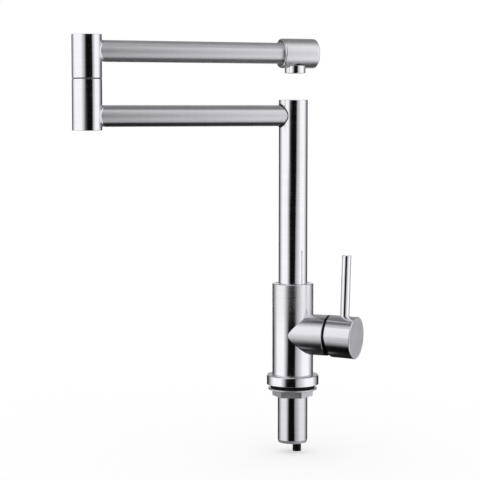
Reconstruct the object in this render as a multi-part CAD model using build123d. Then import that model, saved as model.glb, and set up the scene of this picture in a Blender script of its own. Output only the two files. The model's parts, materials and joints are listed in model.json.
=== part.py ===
from build123d import *
from math import cos, radians, sin, sqrt
import os

# Deck mounted folding kitchen tap with a single side lever, in millimetres.
# z = 0 is the top of the sink deck, the origin lies on the shank's axis, the
# valve barrel points along +X and the person at the sink stands at -Y.

# ---- clearances ----
RUN = 0.05              # radial clearance of a piece that turns in another
FIT = 0.03              # radial clearance of a piece that is fixed in another
FACE = 0.05             # film between two flat faces that slide on each other
AIR = 0.3               # gap between pieces that pass each other
PAST = 1.0              # how far a cutting shape runs past the faces that it opens

# ---- shank and deck clamp ----
SHANK_D = 33.2
SHANK_THREAD_D = 32.7   # the stretch that the nut and the body grip
SHANK_BORE_D = 27.8
SHANK_BELOW_DECK = 63.5
SHANK_IN_BODY = 14.0
SHANK_TAPER = 1.0       # radial depth of the lead-in at the lower end
SHANK_TAPER_LENGTH = 3.2
HOLE_PLAY = 0.4         # radial room of rings and washers around the shank
GASKET_D = 48.6
GASKET_SHOWING = 1.5
GASKET_IN_RING = 1.4
PAD_WASHER_D = 48.6
PAD_WASHER_THICKNESS = 2.6
CLAMP_WASHER_D = 54.0
CLAMP_WASHER_THICKNESS = 1.8
CLAMP_WASHER_EDGE = 0.5
CLAMP_NUT_ACROSS_FLATS = 39.0
CLAMP_NUT_HEIGHT = 7.5
CLAMP_NUT_CHAMFER = 0.8
CLAMP_NUT_TURN = 18.5   # the hexagon's angle about the shank

# ---- base ring and body ----
BASE_RING_D = 58.0
BASE_RING_HEIGHT = 10.5
BASE_RING_EDGE = 1.2
BASE_RING_FOOT_EDGE = 0.5
BODY_D = 45.6
BODY_HEIGHT = 101.5
BODY_EDGE = 0.8
BARREL_D = 45.0
BARREL_Z = 57.8
BARREL_LENGTH = 42.4    # from the body's axis to the barrel's open end
BARREL_EDGE = 0.5

# ---- water inlets ----
INLET_X = 2.1
INLET_SPACING = 15.6
INLET_PORT_RISE = 5.0   # the cartridge's inlet ports above the barrel's axis
INLET_WAY_D = 5.8
TAIL_THREAD_D = 9.6
TAIL_THREAD_LENGTH = 9.0
TAIL_HOLE_SPARE = 1.0   # the threaded hole's depth beyond the tail's end
TAIL_D = 8.2
TAIL_BORE_D = 5.6
TAIL_COLLAR_D = 11.2
TAIL_COLLAR_LENGTH = 4.0
TAIL_SLEEVE_D = 9.4
TAIL_SLEEVE_LENGTH = 10.6
COLD_TAIL_BELOW_SHANK = 11.6
HOT_TAIL_ABOVE_SHANK_END = 17.0
TAIL_SEAL_SECTION = 1.1

# ---- cartridge, measured along the barrel's axis ----
SEAT_DEPTH = 29.4       # the cartridge's seat below the barrel's open end
CARTRIDGE_D = 34.8
CARTRIDGE_BASE_THICKNESS = 4.0
CARTRIDGE_BASE_RIM = 3.0
BASE_SEAL_THICKNESS = 1.3
BASE_SEAL_WALL = 1.1
OUTLET_PORT_DROP = 7.6  # the cartridge's outlet port below the barrel's axis
OUTLET_WAY_D = 7.4
DISC_D = 28.6
FIXED_DISC_THICKNESS = 4.0
MOVING_DISC_D = 27.0
MOVING_DISC_THICKNESS = 4.0
MIXING_POCKET_DEPTH = 2.4
SEALING_LAND = 0.5      # between the shut pocket's edge and the inlet ports
CARRIER_WIDTH = 15.6
CARRIER_LENGTH = 16.8
CARRIER_THICKNESS = 3.6
CARRIER_LUG_D = 2.4
CARRIER_LUG_LENGTH = 1.6
CARRIER_LUG_OFFSET = 6.4  # of each lug, sideways and upwards from the carrier's middle
TURRET_D = 26.4
TURRET_LENGTH = 7.6
TURRET_SKIRT = 3.2
HOUSING_LIP = 1.6
NECK_D = 24.0
NECK_LENGTH = 5.0
NECK_OPENING_D = 18.6
CARTRIDGE_NUT_D = 37.0
SPANNER_NOTCH = 3.6
SPANNER_NOTCH_DEPTH = 2.2
SPANNER_NOTCHES = 6
TRIM_RING_D = 42.2
TRIM_RING_THICKNESS = 1.9
TRIM_SPIGOT = 0.7

# ---- spindle and lift pivot ----
PIVOT_FROM_TURRET = 4.2  # from the turret's inner face to the pin
PIVOT_PIN_D = 3.0
PIVOT_PIN_LENGTH = 24.4
SPINDLE_SQUARE = 7.6
SPINDLE_REACH = 24.5
SPINDLE_HUB_D = 8.4
SPINDLE_TOE_D = 4.0
SPINDLE_TOE_NECK_D = 3.4
STEM_CLOSED_ANGLE = -11.3  # the stem points upwards when the valve is shut
LIFT_RANGE = 23.0          # degrees from shut to fully open
TOE_PLAY = 0.25

# ---- handle ----
HANDLE_CLOSED_ANGLE = 1.7  # the cap dips by this much when the valve is shut
CAP_D = 46.4
CAP_LENGTH = 30.5
CAP_WALL = 1.8
CAP_END = 3.2
CAP_EDGE = 0.9
CAP_RIM_EDGE = 0.4
CAP_GAP = 2.2           # between the barrel's end and the cap's rim
CAP_CUT_DEPTH = 5.0     # how far the rim is cut back at its lowest point
CAP_CUT_ABOVE_AXIS = 2.0
BOSS_D = 19.0
BOSS_START = 6.0        # from the cap's rim
BOSS_RISE = 5.5
LEVER_D = 10.0
LEVER_FROM_RIM = 16.0
LEVER_ABOVE_CAP = 66.6
LEVER_EDGE = 0.8
LEVER_STUD_D = 6.0
LEVER_STUD_LENGTH = 14.0
GRUB_D = 5.0
GRUB_LENGTH = 6.0
GRUB_FROM_RIM = 10.0
GRUB_SOCKET_D = 2.8
GRUB_SOCKET_DEPTH = 2.6

# ---- riser and its seat in the body ----
RISER_D = 32.0
RISER_WALL = 1.8
RISER_EDGE = 0.5
SOCKET_DEPTH = 33.5
SEAL_BORE_DEPTH = 16.5
SEAL_SPIGOT_D = 30.4
SPIGOT_BORE_D = 22.0
COLLAR_BORE_D = 37.0
COLLAR_RING_HEIGHT = 3.5
COLLAR_RING_RECESS = 0.4
COLLAR_PLAY = 0.1
FLANGE_D = 35.2
FLANGE_THICKNESS = 2.0
THRUST_WASHER_THICKNESS = 0.8
PLUG_IN_RISER = 9.0
RING_SEAL_DEPTH = 1.3
RING_SEAL_WIDTH = 2.2
RISER_SEAL_RISE = 3.0   # lowest ring seal above the socket's floor
RISER_SEAL_PITCH = 6.0

# ---- arms and elbow ----
ARM_D = 22.8
ARM_WALL = 1.4
LOWER_ARM_Z = 298.0
ARM_SPACING = 67.8      # from the lower arm's axis up to the upper arm's
LOWER_REACH = 234.6     # riser axis to elbow axis
UPPER_REACH = 236.7     # elbow axis to nozzle axis
RISER_ABOVE_ARM = 17.3
ARM_HEADING = 226.0     # the lower arm's direction about the riser
FOLD_HEADING = 180.0    # the upper arm's direction from the lower arm's
ELBOW_D = 32.0
ELBOW_WALL = 2.5
ELBOW_EDGE = 0.3
ELBOW_FOOT = 15.1       # the lower barrel's end below the lower arm's axis
SEAM_ABOVE_LOWER_ARM = 38.7
SEAM_GAP = 0.9
SEAM_RECESS = 0.7
ELBOW_HEAD = 17.0       # the upper barrel's end above the upper arm's axis
PLUG_THICKNESS = 3.0
ELBOW_SOCKET_LENGTH = 23.6
ELBOW_PIN_D = 20.0
ELBOW_PIN_BORE_D = 13.6
ELBOW_PIN_HEAD = 11.5
ELBOW_PIN_TAIL = 2.4
ELBOW_SEAL_RISE = 5.0   # lowest ring seal above the socket's lower end
ELBOW_SEAL_PITCH = 8.0
CIRCLIP_THICKNESS = 0.8
CIRCLIP_PROUD = 1.7
CIRCLIP_GROOVE_DEPTH = 1.0
CIRCLIP_OPENING = 4.0

# ---- outlet head and aerator ----
HEAD_D = 32.2
HEAD_BEHIND_NOZZLE = 17.5
HEAD_BEYOND_NOZZLE = 23.5
HEAD_WALL = 2.6
HEAD_SOCKET = 5.0
HEAD_EDGE = 1.6
HEAD_ROUND = 2.6
NOZZLE_D = 22.8
NOZZLE_BELOW_HEAD = 5.5
NOZZLE_WALL = 1.7
NOZZLE_EDGE = 0.4
NOZZLE_THROAT_D = 14.0
AERATOR_RECESS = 0.8
AERATOR_HEIGHT = 8.0
AERATOR_WALL = 1.2
GRID_THICKNESS = 1.6
GRID_HOLE_D = 2.1
GRID_PITCH = 2.6
GRID_RINGS = 3
SIEVE_THICKNESS = 0.5
AERATOR_SEAL_THICKNESS = 1.5

# ---- heights and places that follow from the sizes above ----
RING_BOTTOM = GASKET_SHOWING
BODY_FOOT = RING_BOTTOM + BASE_RING_HEIGHT
BODY_TOP = BODY_FOOT + BODY_HEIGHT
SHANK_BOTTOM = -SHANK_BELOW_DECK
SHANK_TOP = BODY_FOOT + SHANK_IN_BODY
WASHER_TOP = -PAD_WASHER_THICKNESS
NUT_TOP = WASHER_TOP - CLAMP_WASHER_THICKNESS
NUT_BOTTOM = NUT_TOP - CLAMP_NUT_HEIGHT
SHANK_HOLE_R = SHANK_D / 2 + HOLE_PLAY

CARTRIDGE_R = CARTRIDGE_D / 2
SEAT_X = BARREL_LENGTH - SEAT_DEPTH
DISC_X = SEAT_X + CARTRIDGE_BASE_THICKNESS
SLIDE_X = DISC_X + FIXED_DISC_THICKNESS
CARRIER_X = SLIDE_X + FACE + MOVING_DISC_THICKNESS
TURRET_X = CARRIER_X + CARRIER_THICKNESS + FACE
SKIRT_X = TURRET_X - TURRET_SKIRT
TURRET_END_X = TURRET_X + TURRET_LENGTH
SHOULDER_X = TURRET_END_X + FACE + HOUSING_LIP
NECK_END_X = SHOULDER_X + NECK_LENGTH
PIVOT_X = TURRET_X + PIVOT_FROM_TURRET
SPINDLE_TOE_REACH = PIVOT_X - CARRIER_X - SPINDLE_TOE_D / 2 - AIR
CAP_RIM_X = BARREL_LENGTH + CAP_GAP

SOCKET_FLOOR = BODY_TOP - SOCKET_DEPTH
SEAL_BORE_TOP = SOCKET_FLOOR + SEAL_BORE_DEPTH
COLLAR_R = COLLAR_BORE_D / 2 - FIT
THRUST_WASHER_TOP = SEAL_BORE_TOP + THRUST_WASHER_THICKNESS
FLANGE_BOTTOM = THRUST_WASHER_TOP + FACE
RISER_FOOT = FLANGE_BOTTOM + FLANGE_THICKNESS
RISER_SEAL_LOW = SOCKET_FLOOR + RISER_SEAL_RISE
RISER_TOP = LOWER_ARM_Z + RISER_ABOVE_ARM
COLLAR_RING_TOP = BODY_TOP - COLLAR_RING_RECESS
COLLAR_RING_BOTTOM = COLLAR_RING_TOP - COLLAR_RING_HEIGHT

UPPER_ARM_Z = LOWER_ARM_Z + ARM_SPACING
ELBOW_BOTTOM = LOWER_ARM_Z - ELBOW_FOOT
SEAM_BOTTOM = LOWER_ARM_Z + SEAM_ABOVE_LOWER_ARM
SEAM_TOP = SEAM_BOTTOM + SEAM_GAP
ELBOW_TOP = UPPER_ARM_Z + ELBOW_HEAD
ELBOW_BORE_R = ELBOW_D / 2 - ELBOW_WALL
ELBOW_SOCKET_TOP = SEAM_BOTTOM
ELBOW_SOCKET_BOTTOM = ELBOW_SOCKET_TOP - ELBOW_SOCKET_LENGTH
CIRCLIP_TOP = ELBOW_SOCKET_BOTTOM - AIR
ELBOW_SEAL_LOW = ELBOW_SOCKET_BOTTOM + ELBOW_SEAL_RISE
ARM_BORE_R = ARM_D / 2 - ARM_WALL

NOZZLE_BOTTOM = UPPER_ARM_Z - HEAD_D / 2 - NOZZLE_BELOW_HEAD
AERATOR_BOTTOM = NOZZLE_BOTTOM + AERATOR_RECESS
AERATOR_TOP = AERATOR_BOTTOM + AERATOR_HEIGHT
AERATOR_R = NOZZLE_D / 2 - NOZZLE_WALL - FIT
NOZZLE_SHOULDER = AERATOR_TOP + AERATOR_SEAL_THICKNESS
NOZZLE_TOP = NOZZLE_SHOULDER + NOZZLE_WALL


# ---- ways of making a piece ----
def turned(*outline):
    """A turned piece: a closed outline of (radius, height) points spun about Z."""
    return revolve(make_face(Plane.XZ * Polyline(*outline, close=True)), Axis.Z)


def rounded(shape, *rims):
    """Rounds outer edges of a turned piece; each rim is a height and a radius of rounding."""
    for height, radius in rims:
        circles = shape.edges().filter_by(GeomType.CIRCLE)
        level = circles.filter_by(lambda edge: abs(edge.center().Z - height) < FACE)
        shape = fillet(level.sort_by(SortBy.RADIUS)[-1], radius)
    return shape


def ring(outer_r, inner_r, low, high):
    return turned((inner_r, low), (outer_r, low), (outer_r, high), (inner_r, high))


def rod(radius, low, high):
    return turned((0, low), (radius, low), (radius, high), (0, high))


def upright(radius, low, high, x=0.0, y=0.0):
    """A cylinder that stands at x, y."""
    return Pos(x, y, 0) * rod(radius, low, high)


def crosswise(radius, low, high, y=0.0, rise=0.0):
    """A cylinder along the barrel, off its axis by y and by a rise."""
    return Pos(0, y, BARREL_Z + rise) * Rot(0, 90, 0) * rod(radius, low, high)


def on_barrel(shape):
    """Lays a turned piece along the barrel's axis."""
    return Pos(0, 0, BARREL_Z) * Rot(0, 90, 0) * shape


def slab(x0, x1, width, low, high):
    """A block across the barrel, from x0 to x1, with heights counted from its axis."""
    block = Box(x1 - x0, width, high - low, align=(Align.MIN, Align.CENTER, Align.MIN))
    return Pos(x0, 0, BARREL_Z + low) * block


def across_pivot(radius, length):
    """A cylinder on the lift pin's axis."""
    return Pos(PIVOT_X, 0, BARREL_Z) * Rot(90, 0, 0) * Cylinder(radius, length)


def tipped(shape, angle):
    """Tips a piece about the lift pin; a positive angle lowers its outer end."""
    return Pos(PIVOT_X, 0, BARREL_Z) * Rot(0, angle, 0) * Pos(-PIVOT_X, 0, -BARREL_Z) * shape


def on_lower_arm(shape):
    """Turns a piece made along +X into the lower arm's direction."""
    return Rot(0, 0, ARM_HEADING) * shape


def at_elbow(shape):
    """Moves a piece made round the Z axis, arm along +X, to the elbow."""
    return on_lower_arm(Pos(LOWER_REACH, 0, 0) * Rot(0, 0, FOLD_HEADING) * shape)


def at_nozzle(shape):
    return at_elbow(Pos(UPPER_REACH, 0, 0) * shape)


def along_arm(shape, height):
    """Lays a turned piece along +X at a height."""
    return Pos(0, 0, height) * Rot(0, 90, 0) * shape


# ---- shank and deck clamp ----
def make_shank():
    outer = SHANK_D / 2
    return turned(
        (SHANK_BORE_D / 2, SHANK_BOTTOM),
        (outer - SHANK_TAPER, SHANK_BOTTOM),
        (outer, SHANK_BOTTOM + SHANK_TAPER_LENGTH),
        (outer, NUT_BOTTOM),
        (SHANK_THREAD_D / 2, NUT_BOTTOM),
        (SHANK_THREAD_D / 2, SHANK_TOP),
        (SHANK_BORE_D / 2, SHANK_TOP),
    )


def make_clamp_nut():
    nut = extrude(RegularPolygon(CLAMP_NUT_ACROSS_FLATS / 2, 6, major_radius=False), CLAMP_NUT_HEIGHT)
    corner_r = CLAMP_NUT_ACROSS_FLATS / sqrt(3)
    turned_down = turned(
        (0, 0),
        (corner_r - CLAMP_NUT_CHAMFER, 0),
        (corner_r, CLAMP_NUT_CHAMFER),
        (corner_r, CLAMP_NUT_HEIGHT),
        (0, CLAMP_NUT_HEIGHT),
    )
    nut = Rot(0, 0, CLAMP_NUT_TURN) * nut & turned_down
    return Pos(0, 0, NUT_BOTTOM) * (nut - rod(SHANK_D / 2 + RUN, -PAST, CLAMP_NUT_HEIGHT + PAST))


def make_base_ring():
    outer = BASE_RING_D / 2
    recess_r = GASKET_D / 2 + FIT
    plain = turned(
        (recess_r, RING_BOTTOM),
        (outer, RING_BOTTOM),
        (outer, BODY_FOOT),
        (SHANK_HOLE_R, BODY_FOOT),
        (SHANK_HOLE_R, RING_BOTTOM + GASKET_IN_RING),
        (recess_r, RING_BOTTOM + GASKET_IN_RING),
    )
    return rounded(plain, (BODY_FOOT, BASE_RING_EDGE), (RING_BOTTOM, BASE_RING_FOOT_EDGE))


def make_clamp_washer():
    washer = ring(CLAMP_WASHER_D / 2, SHANK_HOLE_R, NUT_TOP, WASHER_TOP)
    return rounded(washer, (WASHER_TOP, CLAMP_WASHER_EDGE), (NUT_TOP, CLAMP_WASHER_EDGE))


# ---- body casting with its waterways ----
def make_valve_body():
    body = rounded(rod(BODY_D / 2, BODY_FOOT, BODY_TOP), (BODY_TOP, BODY_EDGE))
    body += on_barrel(rounded(rod(BARREL_D / 2, 0, BARREL_LENGTH), (BARREL_LENGTH, BARREL_EDGE)))
    body -= upright(SHANK_THREAD_D / 2 + FIT, BODY_FOOT - PAST, SHANK_TOP)
    body -= crosswise(CARTRIDGE_R + FIT, SEAT_X, BARREL_LENGTH + PAST)
    body -= crosswise(CARTRIDGE_NUT_D / 2 + FIT, SHOULDER_X, BARREL_LENGTH + PAST)
    body -= upright(SEAL_SPIGOT_D / 2 + RUN, SOCKET_FLOOR, BODY_TOP)
    body -= upright(COLLAR_BORE_D / 2, SEAL_BORE_TOP, BODY_TOP + PAST)
    inlet_z = BARREL_Z + INLET_PORT_RISE
    tail_hole_top = SHANK_TOP + TAIL_THREAD_LENGTH + TAIL_HOLE_SPARE
    for side in (-1, 1):
        y = side * INLET_SPACING / 2
        body -= upright(TAIL_THREAD_D / 2 + FIT, SHANK_TOP - PAST, tail_hole_top, INLET_X, y)
        body -= upright(INLET_WAY_D / 2, SHANK_TOP, inlet_z, INLET_X, y)
        body -= crosswise(INLET_WAY_D / 2, INLET_X, SEAT_X + PAST, y, INLET_PORT_RISE)
        body -= Pos(INLET_X, y, inlet_z) * Sphere(INLET_WAY_D / 2)
    outlet_z = BARREL_Z - OUTLET_PORT_DROP
    body -= crosswise(OUTLET_WAY_D / 2, 0, SEAT_X + PAST, 0, -OUTLET_PORT_DROP)
    body -= upright(OUTLET_WAY_D / 2, outlet_z, SOCKET_FLOOR + PAST)
    body -= Pos(0, 0, outlet_z) * Sphere(OUTLET_WAY_D / 2)
    return body


# ---- inlet tails: stiff pipes that screw into the body ----
def make_tail(side, low, sleeved):
    top = SHANK_TOP + TAIL_THREAD_LENGTH
    tail = rod(TAIL_THREAD_D / 2, SHANK_TOP - FACE, top)
    tail += rod(TAIL_COLLAR_D / 2, SHANK_TOP - FACE - TAIL_COLLAR_LENGTH, SHANK_TOP - FACE)
    tail += rod(TAIL_D / 2, low, SHANK_TOP - FACE)
    if sleeved:
        tail += rod(TAIL_SLEEVE_D / 2, low, low + TAIL_SLEEVE_LENGTH)
    tail -= rod(TAIL_BORE_D / 2, low - PAST, top + PAST)
    groove_foot_r = TAIL_THREAD_D / 2 - TAIL_SEAL_SECTION
    seal_low = top - 2 * TAIL_SEAL_SECTION
    tail -= ring(TAIL_THREAD_D / 2 + PAST, groove_foot_r, seal_low, seal_low + TAIL_SEAL_SECTION)
    return Pos(INLET_X, side * INLET_SPACING / 2, 0) * tail


def make_tail_seals():
    top = SHANK_TOP + TAIL_THREAD_LENGTH
    low = top - 2 * TAIL_SEAL_SECTION
    seals = Part()
    for side in (-1, 1):
        seal = ring(TAIL_THREAD_D / 2, TAIL_THREAD_D / 2 - TAIL_SEAL_SECTION, low, low + TAIL_SEAL_SECTION)
        seals += Pos(INLET_X, side * INLET_SPACING / 2, 0) * seal
    return seals


# ---- ceramic disc cartridge ----
def ports(inlet_r, outlet_r, x0, x1):
    """The two inlet ways and the outlet way through a piece of the cartridge."""
    ways = crosswise(outlet_r, x0, x1, 0, -OUTLET_PORT_DROP)
    for side in (-1, 1):
        ways += crosswise(inlet_r, x0, x1, side * INLET_SPACING / 2, INLET_PORT_RISE)
    return ways


def make_base_seals():
    inlet_r = INLET_WAY_D / 2
    outlet_r = OUTLET_WAY_D / 2
    top = SEAT_X + BASE_SEAL_THICKNESS
    outer = ports(inlet_r + BASE_SEAL_WALL, outlet_r + BASE_SEAL_WALL, SEAT_X, top)
    return outer - ports(inlet_r, outlet_r, SEAT_X - PAST, top + PAST)


def make_cartridge_base():
    base = turned(
        (0, SEAT_X),
        (CARTRIDGE_R, SEAT_X),
        (CARTRIDGE_R, DISC_X + CARTRIDGE_BASE_RIM),
        (DISC_D / 2 + FIT, DISC_X + CARTRIDGE_BASE_RIM),
        (DISC_D / 2 + FIT, DISC_X),
        (0, DISC_X),
    )
    base = on_barrel(base)
    inlet_r = INLET_WAY_D / 2
    outlet_r = OUTLET_WAY_D / 2
    base -= ports(inlet_r, outlet_r, SEAT_X - PAST, DISC_X + PAST)
    wall = BASE_SEAL_WALL + FIT
    base -= ports(inlet_r + wall, outlet_r + wall, SEAT_X - PAST, SEAT_X + BASE_SEAL_THICKNESS)
    return base


def make_fixed_disc():
    disc = crosswise(DISC_D / 2, DISC_X, SLIDE_X)
    return disc - ports(INLET_WAY_D / 2, OUTLET_WAY_D / 2, DISC_X - PAST, SLIDE_X + PAST)


def slide_at_rest():
    """The moving disc's drop below the barrel's axis when the valve is shut."""
    return SPINDLE_TOE_REACH * sin(radians(STEM_CLOSED_ANGLE))


def carrier_lugs(grow):
    """Two pegs that lock the carrier to the moving disc; grow widens them for their holes."""
    lugs = Part()
    rise = slide_at_rest() + CARRIER_LUG_OFFSET
    foot = CARRIER_X - CARRIER_LUG_LENGTH - grow
    for side in (-1, 1):
        y = side * CARRIER_LUG_OFFSET
        lugs += crosswise(CARRIER_LUG_D / 2 + grow, foot, CARRIER_X, y, rise)
    return lugs


def make_moving_disc():
    """Its pocket joins the inlet ports to the outlet port once the disc has slid up."""
    low = SLIDE_X + FACE
    port_radius = sqrt((INLET_SPACING / 2) ** 2 + INLET_PORT_RISE**2)
    pocket_r = port_radius - INLET_WAY_D / 2 - SEALING_LAND
    pocket_end = low + MIXING_POCKET_DEPTH
    pocket = crosswise(pocket_r, low, pocket_end)
    pocket += slab(low, pocket_end, OUTLET_WAY_D, -OUTLET_PORT_DROP, 0)
    pocket += crosswise(OUTLET_WAY_D / 2, low, pocket_end, 0, -OUTLET_PORT_DROP)
    disc = crosswise(MOVING_DISC_D / 2, low, CARRIER_X, 0, slide_at_rest())
    return disc - pocket - carrier_lugs(FIT)


def make_disc_carrier():
    end = CARRIER_X + CARRIER_THICKNESS
    block = slab(CARRIER_X, end, CARRIER_WIDTH, -CARRIER_LENGTH / 2, CARRIER_LENGTH / 2)
    eye = crosswise(SPINDLE_TOE_D / 2 + TOE_PLAY, CARRIER_X, end + PAST)
    return Pos(0, 0, slide_at_rest()) * (block - eye) + carrier_lugs(0)


def make_turret():
    """It turns with the handle; its slot gives the tilting stem room."""
    turret = crosswise(TURRET_D / 2, SKIRT_X, TURRET_END_X)
    turret -= slab(SKIRT_X - PAST, TURRET_X, CARRIER_WIDTH + 2 * RUN, -TURRET_D, TURRET_D)
    tilt = radians(LIFT_RANGE - STEM_CLOSED_ANGLE) / 2
    slot = SPINDLE_SQUARE / 2 + (TURRET_END_X - PIVOT_X) * sin(tilt) + AIR
    slot = max(slot, SPINDLE_HUB_D / 2 + AIR)
    turret -= slab(SKIRT_X - PAST, TURRET_END_X + PAST, SPINDLE_SQUARE + 2 * RUN, -slot, slot)
    return turret - across_pivot(PIVOT_PIN_D / 2 + FIT, TURRET_D + 2 * PAST)


def make_cartridge_housing():
    rim = DISC_X + CARTRIDGE_BASE_RIM
    skirt_end = SKIRT_X - FACE
    sweep_r = (DISC_D / 2 + CARTRIDGE_R) / 2
    housing = turned(
        (sweep_r, rim),
        (CARTRIDGE_R, rim),
        (CARTRIDGE_R, SHOULDER_X),
        (NECK_D / 2, SHOULDER_X),
        (NECK_D / 2, NECK_END_X),
        (NECK_OPENING_D / 2, NECK_END_X),
        (NECK_OPENING_D / 2, TURRET_END_X + FACE),
        (TURRET_D / 2 + RUN, TURRET_END_X + FACE),
        (TURRET_D / 2 + RUN, skirt_end),
        (sweep_r, skirt_end),
    )
    return on_barrel(housing)


def make_cartridge_nut():
    end = BARREL_LENGTH - TRIM_SPIGOT - FACE
    nut = on_barrel(ring(CARTRIDGE_NUT_D / 2, NECK_D / 2 + FIT, SHOULDER_X, end))
    notch_x = end - SPANNER_NOTCH_DEPTH
    notch = slab(notch_x, end + PAST, SPANNER_NOTCH, -CARTRIDGE_NUT_D, CARTRIDGE_NUT_D)
    for step in range(SPANNER_NOTCHES // 2):
        turn = Pos(0, 0, BARREL_Z) * Rot(step * 360 / SPANNER_NOTCHES, 0, 0) * Pos(0, 0, -BARREL_Z)
        nut -= turn * notch
    return nut


def make_trim_ring():
    """The black ring that shows between the barrel and the handle's cap."""
    inner = NECK_D / 2 + AIR
    return on_barrel(turned(
        (inner, BARREL_LENGTH - TRIM_SPIGOT),
        (CARTRIDGE_NUT_D / 2 - AIR, BARREL_LENGTH - TRIM_SPIGOT),
        (CARTRIDGE_NUT_D / 2 - AIR, BARREL_LENGTH),
        (TRIM_RING_D / 2, BARREL_LENGTH),
        (TRIM_RING_D / 2, BARREL_LENGTH + TRIM_RING_THICKNESS),
        (inner, BARREL_LENGTH + TRIM_RING_THICKNESS),
    ))


def make_spindle(grow=0.0):
    """The stem, hub and toe that turn on the lift pin; grow widens it for its socket."""
    half = SPINDLE_SQUARE / 2 + grow
    stem = slab(PIVOT_X, PIVOT_X + SPINDLE_REACH + grow, 2 * half, -half, half)
    hub = across_pivot(SPINDLE_HUB_D / 2, SPINDLE_SQUARE)
    neck = crosswise(SPINDLE_TOE_NECK_D / 2, PIVOT_X - SPINDLE_TOE_REACH, PIVOT_X)
    toe = Pos(PIVOT_X - SPINDLE_TOE_REACH, 0, BARREL_Z) * Sphere(SPINDLE_TOE_D / 2)
    pin_hole = across_pivot(PIVOT_PIN_D / 2 + RUN, SPINDLE_SQUARE + 2 * PAST)
    return tipped(stem + hub + neck + toe - pin_hole, STEM_CLOSED_ANGLE)


# ---- handle ----
def make_handle_cap():
    outer = CAP_D / 2
    end = CAP_RIM_X + CAP_LENGTH
    floor = end - CAP_END
    cup = turned(
        (outer - CAP_WALL, CAP_RIM_X),
        (outer, CAP_RIM_X),
        (outer, end),
        (0, end),
        (0, floor),
        (outer - CAP_WALL, floor),
    )
    cup = rounded(cup, (end, CAP_EDGE), (CAP_RIM_X, CAP_RIM_EDGE))
    boss_start = CAP_RIM_X + BOSS_START
    cap = on_barrel(cup) + crosswise(BOSS_D / 2, boss_start, floor + CAP_END / 2, 0, BOSS_RISE)
    cut = Polyline(
        (CAP_RIM_X - PAST, CAP_CUT_ABOVE_AXIS),
        (CAP_RIM_X, CAP_CUT_ABOVE_AXIS),
        (CAP_RIM_X + CAP_CUT_DEPTH, -outer),
        (CAP_RIM_X + CAP_CUT_DEPTH, -outer - PAST),
        (CAP_RIM_X - PAST, -outer - PAST),
        close=True,
    )
    cut = extrude(Plane.XZ * make_face(cut), CAP_D, both=True)
    cap -= Pos(0, 0, BARREL_Z) * cut
    lever_x = CAP_RIM_X + LEVER_FROM_RIM
    grub_x = CAP_RIM_X + GRUB_FROM_RIM
    stud_foot = BARREL_Z + outer - LEVER_STUD_LENGTH
    cap -= upright(LEVER_STUD_D / 2 + FIT, stud_foot, BARREL_Z + outer + PAST, lever_x)
    cap -= upright(GRUB_D / 2 + FIT, BARREL_Z - outer - PAST, BARREL_Z + BOSS_RISE, grub_x)
    return tipped(cap, HANDLE_CLOSED_ANGLE) - make_spindle(grow=FIT)


def make_lever():
    """The straight rod, seated on the cap's round side, with its stud inside the boss."""
    x = CAP_RIM_X + LEVER_FROM_RIM
    cap_r = CAP_D / 2
    top = cap_r + LEVER_ABOVE_CAP
    lever = rounded(rod(LEVER_D / 2, 0, top), (top, LEVER_EDGE))
    lever = Pos(x, 0, BARREL_Z) * lever - crosswise(cap_r, x - LEVER_D, x + LEVER_D)
    stud_foot = BARREL_Z + cap_r - LEVER_STUD_LENGTH + AIR
    lever += upright(LEVER_STUD_D / 2, stud_foot, BARREL_Z + cap_r + PAST, x)
    return tipped(lever, HANDLE_CLOSED_ANGLE)


def stem_face():
    """How far below the cap's axis the stem's underside lies at the grub screw's edge."""
    reach = CAP_RIM_X + GRUB_FROM_RIM - GRUB_D / 2 - PIVOT_X
    lean = radians(STEM_CLOSED_ANGLE - HANDLE_CLOSED_ANGLE)
    return reach * sin(lean) / cos(lean) + (SPINDLE_SQUARE / 2) / cos(lean)


def make_grub_screw():
    x = CAP_RIM_X + GRUB_FROM_RIM
    top = BARREL_Z - stem_face() - FACE
    screw = upright(GRUB_D / 2, top - GRUB_LENGTH, top, x)
    socket = extrude(RegularPolygon(GRUB_SOCKET_D / 2, 6), GRUB_SOCKET_DEPTH)
    return tipped(screw - Pos(x, 0, top - GRUB_LENGTH) * socket, HANDLE_CLOSED_ANGLE)


def make_screw_plug():
    """The small cover in the cap's underside, over the grub screw."""
    x = CAP_RIM_X + GRUB_FROM_RIM
    low = BARREL_Z - CAP_D / 2
    plug = upright(GRUB_D / 2, low - PAST, low + CAP_WALL + AIR, x)
    plug &= crosswise(CAP_D / 2, x - GRUB_D, x + GRUB_D)
    return tipped(plug, HANDLE_CLOSED_ANGLE)


# ---- riser and lower arm ----
def make_riser_tube():
    tube = ring(RISER_D / 2, RISER_D / 2 - RISER_WALL, RISER_FOOT, RISER_TOP)
    tube = rounded(tube, (RISER_TOP, RISER_EDGE))
    return on_lower_arm(tube - along_arm(rod(ARM_BORE_R, 0, RISER_D), LOWER_ARM_Z))


def seal_grooves(radius, low, pitch, count=2):
    """Square grooves for the ring seals of a spigot."""
    grooves = Part()
    for step in range(count):
        z = low + step * pitch
        grooves += ring(radius + PAST, radius - RING_SEAL_DEPTH, z, z + RING_SEAL_WIDTH)
    return grooves


def ring_seals(radius, low, pitch, count=2):
    """The rubber rings in those grooves."""
    seals = Part()
    for step in range(count):
        z = low + step * pitch
        seals += ring(radius, radius - RING_SEAL_DEPTH, z, z + RING_SEAL_WIDTH)
    return seals


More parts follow.
